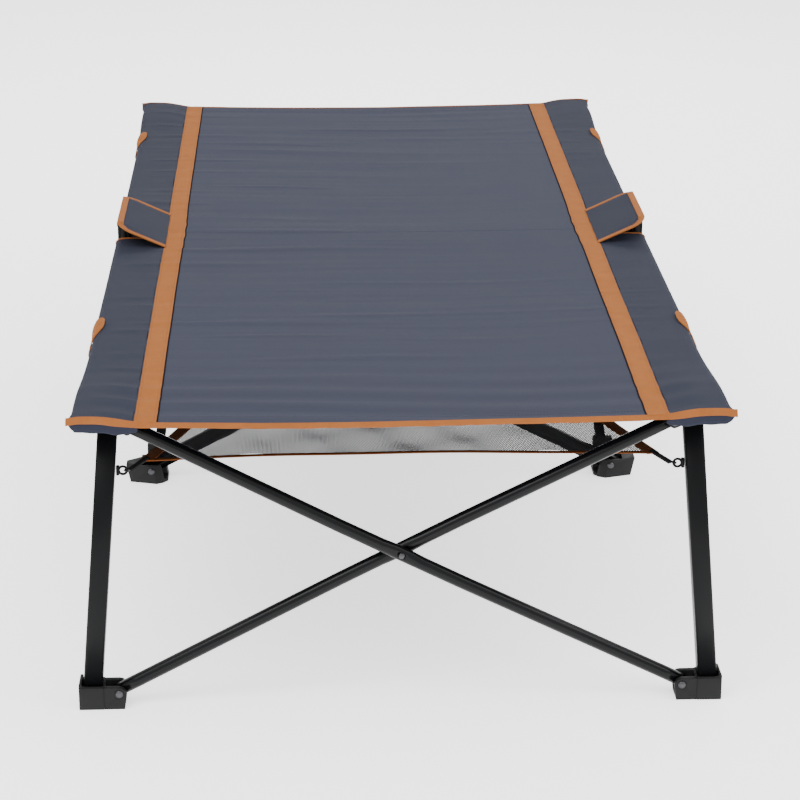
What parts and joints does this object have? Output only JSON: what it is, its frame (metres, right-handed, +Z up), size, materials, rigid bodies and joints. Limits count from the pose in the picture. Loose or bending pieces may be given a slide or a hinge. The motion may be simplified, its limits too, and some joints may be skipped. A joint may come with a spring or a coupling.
{
  "type": "folding cot",
  "caption": "Folding camp bed: fabric cover on hinged side rails, scissor cross frames with legs and feet, and a net shelf below.",
  "frame": {"origin": "on the floor, under the middle of the bed", "axes": "+X across the bed to the right, +Y along the bed from the end with the net to the other end, +Z up"},
  "size_m": [0.954, 2, 0.501],
  "materials": {
    "black_steel": "glossy black powder coat on steel tube",
    "black_plastic": "fine-grained moulded black plastic",
    "rivet_steel": "blackened rivet heads",
    "slate_fabric": "tightly woven slate-grey polyester",
    "net_mesh": "open black mesh",
    "orange_webbing": "ribbed orange-tan webbing and binding tape"
  },
  "bodies": {
    "mid_foot_left": {"mid_left_foot": "black_plastic", "mid_left_foot_pin": "rivet_steel"},
    "mid_arm_rising": {"mid_arm_rising": "black_steel", "mid_cross_rivet": "rivet_steel"},
    "mid_arm_falling": {"mid_arm_falling": "black_steel"},
    "mid_foot_right": {"mid_right_foot": "black_plastic", "mid_right_foot_pin": "rivet_steel"},
    "mid_hub_left": {"mid_left_hub": "black_plastic", "mid_left_hub_pin": "rivet_steel", "mid_left_brace_leg": "black_steel", "front_left_rail_pin": "rivet_steel", "rear_left_rail_pin": "rivet_steel"},
    "mid_hub_right": {"mid_right_hub": "black_plastic", "mid_right_hub_pin": "rivet_steel", "mid_right_brace_leg": "black_steel", "front_right_rail_pin": "rivet_steel", "rear_right_rail_pin": "rivet_steel"},
    "front_left": {"front_left_leg": "black_steel", "front_left_hub": "black_plastic", "front_left_hub_pin": "rivet_steel", "front_left_rail": "black_steel", "front_left_rail_knuckle": "black_plastic", "front_left_net_ring": "black_steel", "cover_front": "slate_fabric", "storage_net": "net_mesh"},
    "front_foot_left": {"front_left_foot": "black_plastic", "front_left_foot_pin": "rivet_steel"},
    "front_right": {"front_right_leg": "black_steel", "front_right_hub": "black_plastic", "front_right_hub_pin": "rivet_steel", "front_right_rail": "black_steel", "front_right_rail_knuckle": "black_plastic", "front_right_net_ring": "black_steel"},
    "front_foot_right": {"front_right_foot": "black_plastic", "front_right_foot_pin": "rivet_steel"},
    "front_arm_falling": {"front_arm_falling": "black_steel"},
    "front_arm_rising": {"front_arm_rising": "black_steel", "front_cross_rivet": "rivet_steel"},
    "rear_left": {"rear_left_leg": "black_steel", "rear_left_hub": "black_plastic", "rear_left_hub_pin": "rivet_steel", "rear_left_rail": "black_steel", "rear_left_rail_knuckle": "black_plastic", "cover_rear": "slate_fabric"},
    "rear_foot_left": {"rear_left_foot": "black_plastic", "rear_left_foot_pin": "rivet_steel"},
    "rear_right": {"rear_right_leg": "black_steel", "rear_right_hub": "black_plastic", "rear_right_hub_pin": "rivet_steel", "rear_right_rail": "black_steel", "rear_right_rail_knuckle": "black_plastic"},
    "rear_foot_right": {"rear_right_foot": "black_plastic", "rear_right_foot_pin": "rivet_steel"},
    "rear_arm_falling": {"rear_arm_falling": "black_steel"},
    "rear_arm_rising": {"rear_arm_rising": "black_steel", "rear_cross_rivet": "rivet_steel"},
    "flap_left": {"hinge_flap_left": "slate_fabric"},
    "flap_right": {"hinge_flap_right": "slate_fabric"}
  },
  "joints": [
    {"name": "width_fold", "type": "hinge", "parent": "mid_foot_left", "child": "mid_arm_rising", "pos_m": [-0.4175, 0, 0.0245], "axis": [0, -1, 0], "range_deg": [0, 54], "deforming": ["cover_front", "cover_rear", "storage_net"]},
    {"name": "mid_cross_turn", "type": "hinge", "parent": "mid_arm_rising", "child": "mid_arm_falling", "pos_m": [0, 0, 0.23832], "axis": [0, -1, 0], "range_deg": [-108, 0]},
    {"name": "mid_hub_right_turn", "type": "hinge", "parent": "mid_arm_rising", "child": "mid_hub_right", "pos_m": [0.393, 0, 0.4396], "axis": [0, -1, 0], "range_deg": [-54, 0]},
    {"name": "mid_hub_left_turn", "type": "hinge", "parent": "mid_arm_falling", "child": "mid_hub_left", "pos_m": [-0.393, 0, 0.4396], "axis": [0, -1, 0], "range_deg": [0, 54]},
    {"name": "mid_foot_right_turn", "type": "hinge", "parent": "mid_arm_falling", "child": "mid_foot_right", "pos_m": [0.4175, 0, 0.0245], "axis": [0, -1, 0], "range_deg": [0, 54]},
    {"name": "length_fold", "type": "hinge", "parent": "mid_hub_left", "child": "front_left", "pos_m": [-0.4525, -0.015, 0.486], "axis": [-1, 0, 0], "range_deg": [0, 90], "deforming": ["hinge_flap_left", "hinge_flap_right"]},
    {"name": "front_right_fold", "type": "hinge", "parent": "mid_hub_right", "child": "front_right", "pos_m": [0.4525, -0.015, 0.486], "axis": [-1, 0, 0], "range_deg": [0, 90]},
    {"name": "rear_left_fold", "type": "hinge", "parent": "mid_hub_left", "child": "rear_left", "pos_m": [-0.4525, 0.015, 0.486], "axis": [-1, 0, 0], "range_deg": [-90, 0]},
    {"name": "rear_right_fold", "type": "hinge", "parent": "mid_hub_right", "child": "rear_right", "pos_m": [0.4525, 0.015, 0.486], "axis": [-1, 0, 0], "range_deg": [-90, 0]},
    {"name": "front_hub_left_turn", "type": "hinge", "parent": "front_left", "child": "front_arm_falling", "pos_m": [-0.393, -0.93, 0.4396], "axis": [0, -1, 0], "range_deg": [-54, 0]},
    {"name": "front_cross_turn", "type": "hinge", "parent": "front_arm_falling", "child": "front_arm_rising", "pos_m": [0, -0.93, 0.23832], "axis": [0, -1, 0], "range_deg": [0, 108]},
    {"name": "front_foot_right_turn", "type": "hinge", "parent": "front_arm_falling", "child": "front_foot_right", "pos_m": [0.4175, -0.93, 0.0245], "axis": [0, -1, 0], "range_deg": [0, 54]},
    {"name": "front_foot_left_turn", "type": "hinge", "parent": "front_arm_rising", "child": "front_foot_left", "pos_m": [-0.4175, -0.93, 0.0245], "axis": [0, -1, 0], "range_deg": [-54, 0]},
    {"name": "rear_hub_left_turn", "type": "hinge", "parent": "rear_left", "child": "rear_arm_falling", "pos_m": [-0.393, 0.93, 0.4396], "axis": [0, -1, 0], "range_deg": [-54, 0]},
    {"name": "rear_cross_turn", "type": "hinge", "parent": "rear_arm_falling", "child": "rear_arm_rising", "pos_m": [0, 0.93, 0.23832], "axis": [0, -1, 0], "range_deg": [0, 108]},
    {"name": "rear_foot_right_turn", "type": "hinge", "parent": "rear_arm_falling", "child": "rear_foot_right", "pos_m": [0.4175, 0.93, 0.0245], "axis": [0, -1, 0], "range_deg": [0, 54]},
    {"name": "rear_foot_left_turn", "type": "hinge", "parent": "rear_arm_rising", "child": "rear_foot_left", "pos_m": [-0.4175, 0.93, 0.0245], "axis": [0, -1, 0], "range_deg": [-54, 0]},
    {"name": "flap_left_lift", "type": "hinge", "parent": "mid_hub_left", "child": "flap_left", "pos_m": [-0.379, 0, 0.4724], "axis": [0, 1, 0], "range_deg": [0, 95]},
    {"name": "flap_right_lift", "type": "hinge", "parent": "mid_hub_right", "child": "flap_right", "pos_m": [0.379, 0, 0.4724], "axis": [0, -1, 0], "range_deg": [0, 95]}
  ],
  "couplings": [
    {"joint": "mid_cross_turn", "follows": "width_fold", "ratio": -2},
    {"joint": "mid_hub_right_turn", "follows": "width_fold", "ratio": -1},
    {"joint": "mid_hub_left_turn", "follows": "width_fold", "ratio": 1},
    {"joint": "mid_foot_right_turn", "follows": "width_fold", "ratio": 1},
    {"joint": "front_right_fold", "follows": "length_fold", "ratio": 1},
    {"joint": "rear_left_fold", "follows": "length_fold", "ratio": -1},
    {"joint": "rear_right_fold", "follows": "length_fold", "ratio": -1},
    {"joint": "front_hub_left_turn", "follows": "width_fold", "ratio": -1},
    {"joint": "front_cross_turn", "follows": "width_fold", "ratio": 2},
    {"joint": "front_foot_right_turn", "follows": "width_fold", "ratio": 1},
    {"joint": "front_foot_left_turn", "follows": "width_fold", "ratio": -1},
    {"joint": "rear_hub_left_turn", "follows": "width_fold", "ratio": -1},
    {"joint": "rear_cross_turn", "follows": "width_fold", "ratio": 2},
    {"joint": "rear_foot_right_turn", "follows": "width_fold", "ratio": 1},
    {"joint": "rear_foot_left_turn", "follows": "width_fold", "ratio": -1}
  ]
}
